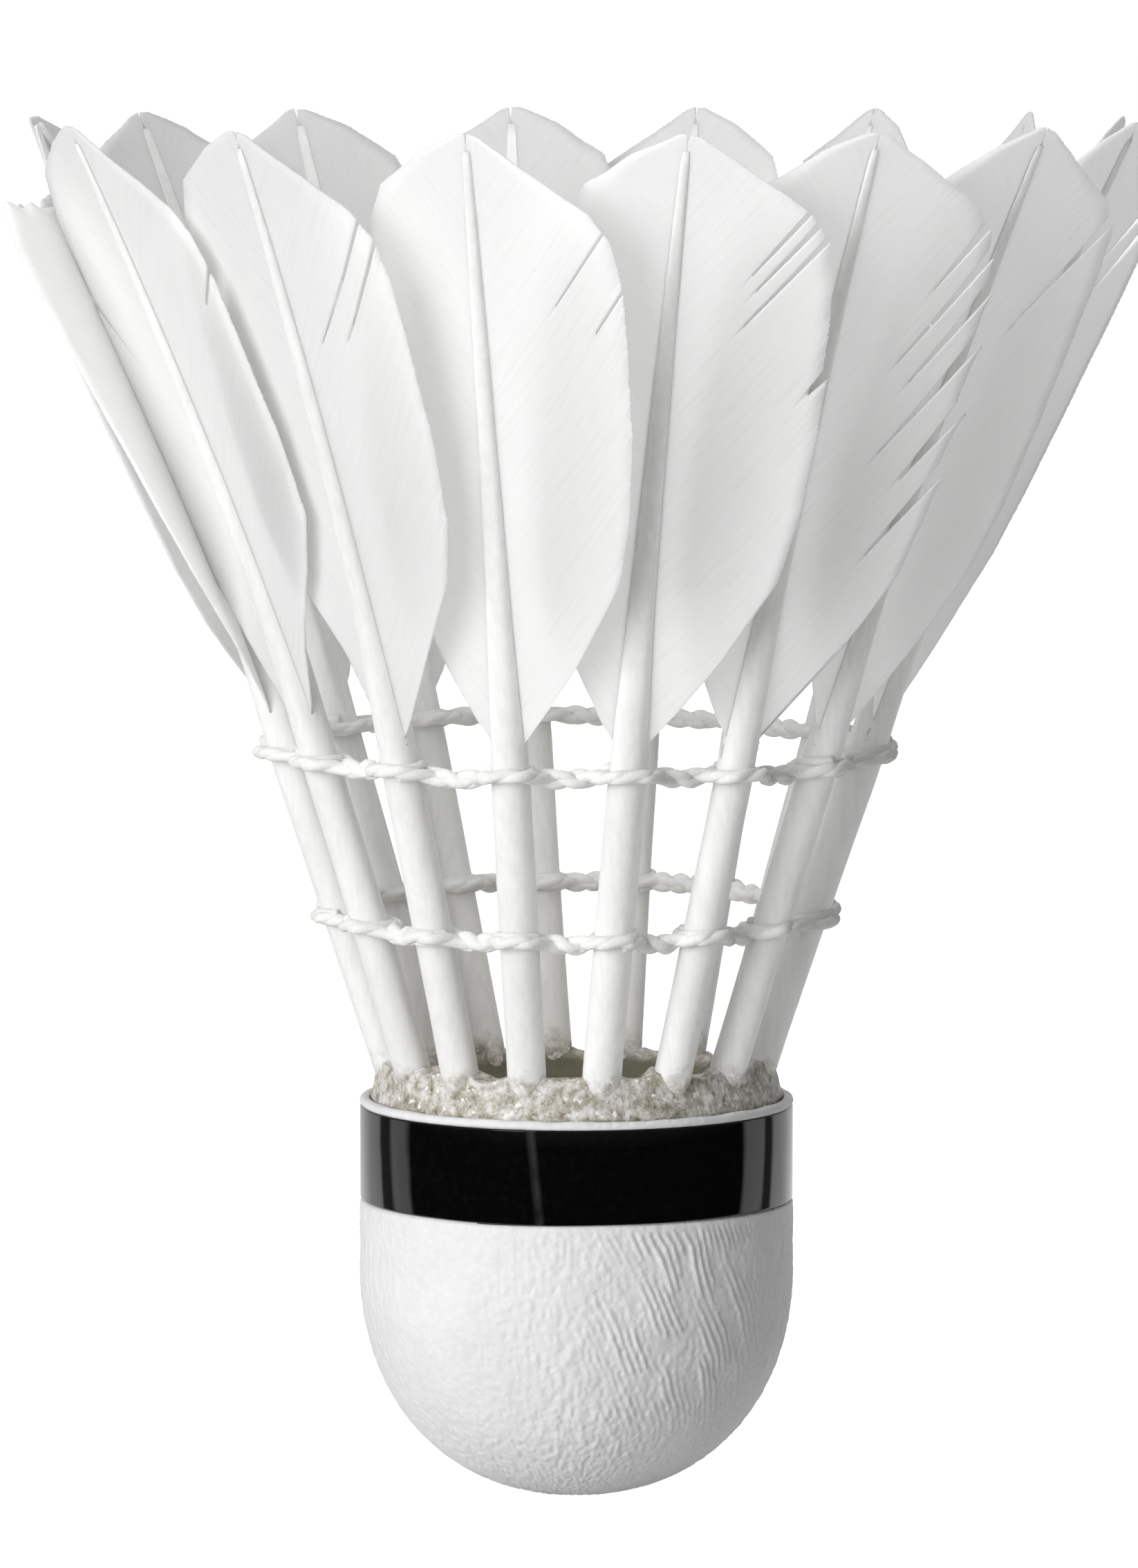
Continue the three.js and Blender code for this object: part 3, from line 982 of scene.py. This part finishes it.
def thread_row(name, level):
    """Two cords that part round every quill and twist together between quills, with a turn
    of thread round each quill."""
    rng = np.random.default_rng(round(level * 10))
    shape = Shape()
    steps = 44
    hug = QUILL_RADIUS + PLY_RADIUS + PLY_OFFSET - 0.16
    behind = np.sin(FIRST_FEATHER + np.arange(FEATHER_COUNT) * PITCH)
    sag = rng.uniform(0.15, 0.5, FEATHER_COUNT) * (1 - 0.7 * smooth(behind, 0.0, 0.8))
    drop = rng.uniform(-0.12, 0.12, FEATHER_COUNT) + 0.5 * smooth(behind, 0.0, 0.9)
    for cord in (1, -1):
        points = []
        for k in range(FEATHER_COUNT):
            after = (k + 1) % FEATHER_COUNT
            here_radius, here_side = shaft_line(level, k)
            next_radius, next_side = shaft_line(level, after)
            here = FIRST_FEATHER + k * PITCH + math.atan2(here_side, here_radius)
            there = FIRST_FEATHER + (k + 1) * PITCH + math.atan2(next_side, next_radius)
            radius = math.hypot(here_radius, here_side)
            for i in range(steps):
                share = i / steps
                angle = here + share * (there - here)
                near = 1 - smooth(min(share, 1 - share), 0.10, 0.34)
                chord = radius * math.cos((there - here) / 2)
                chord = chord / math.cos((share - 0.5) * (there - here))
                base = chord + (radius - chord) * near
                twist = math.pi * (1 + 2 * smooth(share, 0.2, 0.8))
                out = cord * (hug * near + CORD_OFFSET * math.cos(twist) * (near - 1))
                height = level + cord * CORD_OFFSET * math.sin(twist) * (1 - near)
                height += cord * 0.2 * (share - (1 if share > 0.5 else 0)) * near
                height += drop[k] + (drop[after] - drop[k]) * smooth(share, 0, 1)
                height -= sag[k] * math.sin(math.pi * share) ** 2
                out = base + out
                points.append((out * math.cos(angle), out * math.sin(angle), height))
        points.append(points[0])
        twisted(shape, np.array(points))
    for k in range(FEATHER_COUNT):
        turn = np.linspace(0, COLLAR_SWEEP, COLLAR_POINTS) + rng.uniform(0, 6)
        spread = np.linspace(-COLLAR_REACH, COLLAR_REACH, COLLAR_POINTS)
        height = level + drop[k] + spread + 0.12 * np.sin(turn + rng.uniform(0, 6))
        radius, sideways = shaft_line(height, k)
        around = QUILL_RADIUS + 0.10
        path = to_place(radius + around * np.cos(turn), sideways + around * np.sin(turn), height, k)
        shape.add_tube(path, COLLAR_RADIUS, 8)
    mesh = outward(shape.mesh(name + "_cord"))
    return make_piece(name + "_cord", mesh, THREAD, "thread", name)


# ---------------------------------------------------------------- camera, stage and light

def add_camera():
    data = bpy.data.cameras.new("camera")
    data.lens = CAMERA_LENS
    data.sensor_width = 36.0
    data.clip_start = 0.01
    data.clip_end = 50.0
    camera = bpy.data.objects.new("camera", data)
    camera.location = [value * MM for value in CAMERA_PLACE]
    camera.rotation_euler = (math.pi / 2 - CAMERA_DIP, 0, 0)
    bpy.context.scene.collection.objects.link(camera)
    bpy.context.scene.camera = camera


def add_floor():
    """A pale floor under the nose, kept out of reflections so that the ribbon stays dark."""
    look = Material("floor", Roughness=0.9, Emission_Color=(1.0, 1.0, 1.0, 1.0))
    grain = look.noise(40.0, 2.0)
    look.set("Base Color", look.ramp(grain, (0.3, 0.62), (0.7, 0.64)))
    seen = look.add("ShaderNodeLightPath").outputs["Is Camera Ray"]
    look.set("Emission Strength", look.math("MULTIPLY_ADD", seen, FLOOR_LIFT, FLOOR_GLOW))
    bpy.ops.mesh.primitive_circle_add(vertices=96, radius=FLOOR_RADIUS, fill_type="NGON",
                                      location=(0, 0, (NOSE_TIP - FLOOR_GAP) * MM))
    floor = bpy.context.object
    floor.name = "floor"
    floor.data.materials.append(look.material)
    floor.visible_glossy = False


def add_light(name, azimuth, elevation, distance, size, power, glossy=False):
    """A round light aimed at the part, in degrees and metres; azimuth 0 is the camera's side.

    Only a glossy one shows in reflections.
    """
    data = bpy.data.lights.new(name, "AREA")
    data.shape = "DISK"
    data.size = size
    data.energy = power
    light = bpy.data.objects.new(name, data)
    flat = distance * math.cos(math.radians(elevation))
    turn = math.radians(azimuth)
    light.location = (flat * math.sin(turn), -flat * math.cos(turn),
                      LIGHT_TARGET + distance * math.sin(math.radians(elevation)))
    light.rotation_euler = (math.pi / 2 - math.radians(elevation), 0, turn)
    bpy.context.scene.collection.objects.link(light)
    light.visible_camera = False
    light.visible_glossy = glossy
    return light


def add_world():
    """White to the camera and dim to diffuse light. Reflections see it dark in front, with
    pale panels at the sides and a pale back."""
    world = bpy.data.worlds.new("studio")
    world.use_nodes = True
    bpy.context.scene.world = world
    world.node_tree.nodes.clear()
    look = Nodes(world.node_tree)
    place = look.add("ShaderNodeTexCoord").outputs["Generated"]
    parts = look.add("ShaderNodeSeparateXYZ", {"Vector": place}).outputs
    azimuth = look.math("ARCTAN2", parts["X"], look.math("MULTIPLY", parts["Y"], -1.0))
    turn = look.math("DIVIDE", look.math("ABSOLUTE", azimuth), math.pi)
    sides = look.ramp(
        turn, (0.0, WORLD_FRONT), (0.55, WORLD_FRONT), (0.575, WORLD_PANEL), (0.64, WORLD_PANEL),
        (0.66, WORLD_GAP), (0.71, WORLD_GAP), (0.73, WORLD_BACK), (1.0, WORLD_BACK))
    lift = look.math("MULTIPLY_ADD", parts["Z"], 0.5, 0.5)
    upper = look.ramp(lift, (0.54, 0.0), (0.68, 1.0))
    reflected = look.mix(upper, sides, WORLD_TOP)
    reflections = look.add("ShaderNodeBackground", {"Color": reflected}).outputs[0]
    diffuse = look.add("ShaderNodeBackground", {
        "Color": (1.0, 1.0, 1.0, 1.0), "Strength": AMBIENT}).outputs[0]
    backdrop = look.add("ShaderNodeBackground", {
        "Color": (1.0, 1.0, 1.0, 1.0), "Strength": BACKDROP}).outputs[0]
    ray = look.add("ShaderNodeLightPath").outputs
    unseen = look.add("ShaderNodeMixShader", {
        0: ray["Is Diffuse Ray"], 1: reflections, 2: diffuse}).outputs[0]
    surface = look.add("ShaderNodeMixShader", {
        0: ray["Is Camera Ray"], 1: unseen, 2: backdrop}).outputs[0]
    look.add("ShaderNodeOutputWorld", {"Surface": surface})


# ---------------------------------------------------------------- the scene

add_camera()
add_floor()
add_world()
add_light("key", azimuth=-40, elevation=8, distance=1.0, size=0.8, power=10.9)
add_light("shine", azimuth=-38, elevation=36, distance=0.9, size=0.35, power=0.8, glossy=True)
add_light("top", azimuth=0, elevation=86, distance=1.0, size=1.4, power=4.5)
add_light("back", azimuth=165, elevation=38, distance=1.2, size=1.4, power=5.0)
vane_fill = add_light("vane_fill", azimuth=24, elevation=8, distance=1.0, size=1.0, power=5.4)
shaft_fill = add_light("shaft_fill", azimuth=60, elevation=8, distance=1.0, size=1.0, power=2.4)
bpy.context.scene.view_settings.view_transform = "Standard"

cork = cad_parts["cork_core"]
cork.data.materials.clear()
cork.data.materials.append(CORK)
leather_cover()
ribbon()
glue()
lit_vanes = bpy.data.collections.new("lit_vanes")
lit_shafts = bpy.data.collections.new("lit_shafts")
vane_fill.light_linking.receiver_collection = lit_vanes
shaft_fill.light_linking.receiver_collection = lit_shafts
for feather in range(FEATHER_COUNT):
    lit_shafts.objects.link(shaft(feather))
    plate = vane(feather)
    if feather in FILLED_VANES:
        lit_vanes.objects.link(plate)
for row_name, row_level in THREAD_HEIGHTS.items():
    thread_row(row_name, row_level)
